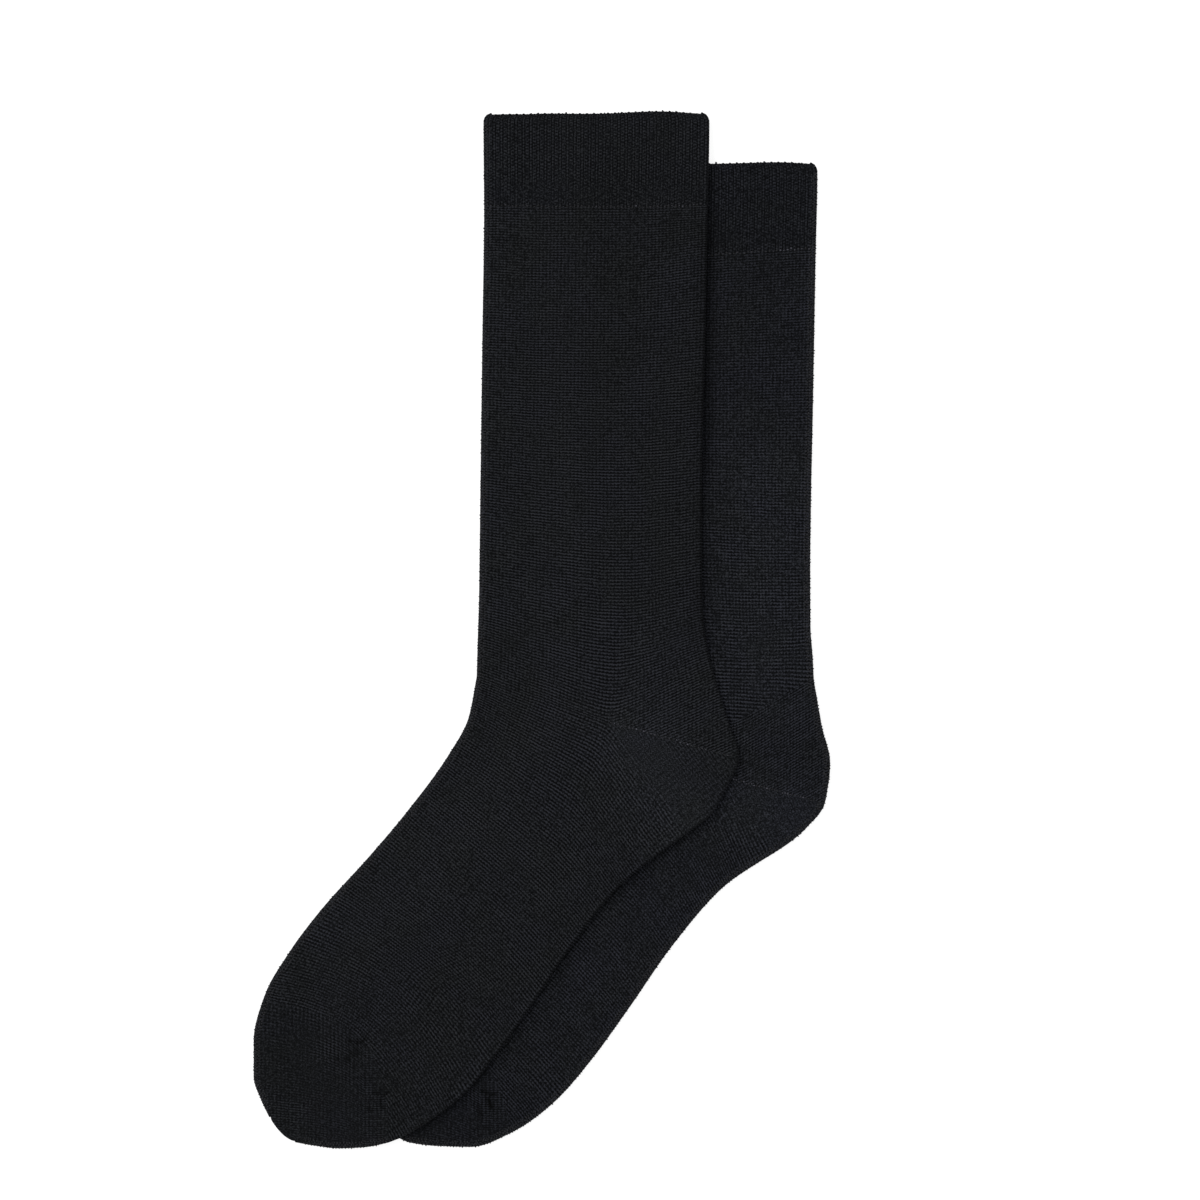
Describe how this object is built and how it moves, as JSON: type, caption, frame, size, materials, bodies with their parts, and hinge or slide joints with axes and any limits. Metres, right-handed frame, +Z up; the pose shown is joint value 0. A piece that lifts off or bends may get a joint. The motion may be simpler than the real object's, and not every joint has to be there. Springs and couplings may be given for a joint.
{
  "type": "pair of socks",
  "caption": "Pair of plain mid-calf socks in fine knit with ribbed cuffs, laid flat, the front sock lying over the back one.",
  "frame": {"origin": "centre of the pair's outline at the level of the surface it lies on", "axes": "+Y up the legs towards the cuffs, +X from the instep side to the heel side, +Z up from the surface"},
  "size_m": [0.231, 0.4138, 0.0058],
  "materials": {
    "plain_knit": "near-black fine plain knit, matte",
    "rib_knit": "near-black ribbed knit, matte",
    "heel_knit": "near-black close plain knit, matte",
    "toe_knit": "near-black close plain knit, matte"
  },
  "bodies": {
    "root": {"back_cuff": "rib_knit", "back_leg_and_foot": "plain_knit", "back_heel": "heel_knit", "back_toe": "toe_knit", "front_cuff": "rib_knit", "front_leg_and_foot": "plain_knit", "front_heel": "heel_knit", "front_toe": "toe_knit"}
  },
  "joints": []
}
